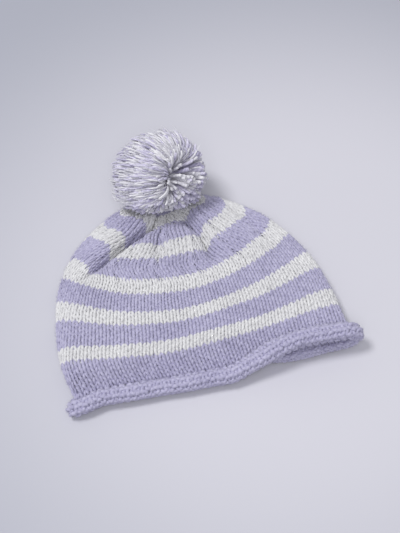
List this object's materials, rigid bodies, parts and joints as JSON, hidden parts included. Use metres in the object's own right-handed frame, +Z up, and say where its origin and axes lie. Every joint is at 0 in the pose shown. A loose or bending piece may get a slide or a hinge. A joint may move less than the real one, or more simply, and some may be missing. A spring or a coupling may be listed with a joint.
{
  "type": "knitted beanie",
  "caption": "Hand-knitted child's beanie lying flat: striped stockinette, rolled brim, gathered crown and a two-tone yarn pompom on a tie.",
  "frame": {"origin": "under the middle of the whole outline, on the surface the hat lies on", "axes": "+X across the brim, +Y from the brim to the crown and pompom, +Z up from the surface it lies on"},
  "size_m": [0.2044, 0.1878, 0.063],
  "materials": {
    "lilac_yarn": "matte wool",
    "white_yarn": "matte wool"
  },
  "bodies": {
    "hat": {"rolled_brim": "lilac_yarn", "cast_on_edge": "lilac_yarn", "lilac_band_1": "lilac_yarn", "white_stripe_1": "white_yarn", "lilac_band_2": "lilac_yarn", "white_stripe_2": "white_yarn", "lilac_band_3": "lilac_yarn", "white_stripe_3": "white_yarn", "lilac_band_4": "lilac_yarn", "white_stripe_4": "white_yarn", "lilac_band_5": "lilac_yarn", "white_stripe_5": "white_yarn", "lilac_band_6": "lilac_yarn", "crown_drawstring": "lilac_yarn", "carried_lilac_yarn": "lilac_yarn", "carried_white_yarn": "white_yarn", "woven_in_cast_on_end": "lilac_yarn", "inside_knot": "lilac_yarn"},
    "tie_tails": {"tie_tail_left": "lilac_yarn", "tie_tail_right": "lilac_yarn"},
    "base_knot": {"tie_knot": "lilac_yarn"},
    "pompom": {"pompom_lilac_strands": "lilac_yarn", "pompom_white_strands": "white_yarn", "tie_wrap": "lilac_yarn", "tie_stem_left": "lilac_yarn", "tie_stem_right": "lilac_yarn"}
  },
  "joints": [
    {"name": "pompom_sway", "type": "hinge", "parent": "hat", "child": "tie_tails", "pos_m": [0, 0.04863, 0.01243], "axis": [0, 0, 1], "range_deg": [-12, 12]},
    {"name": "pompom_nod", "type": "hinge", "parent": "tie_tails", "child": "base_knot", "pos_m": [0, 0.04863, 0.01243], "axis": [1, 0, 0], "range_deg": [0, 12]},
    {"name": "pompom_twist", "type": "hinge", "parent": "base_knot", "child": "pompom", "pos_m": [0, 0.04863, 0.01243], "axis": [0, 0.5878, 0.809], "range_deg": [-60, 60]}
  ]
}
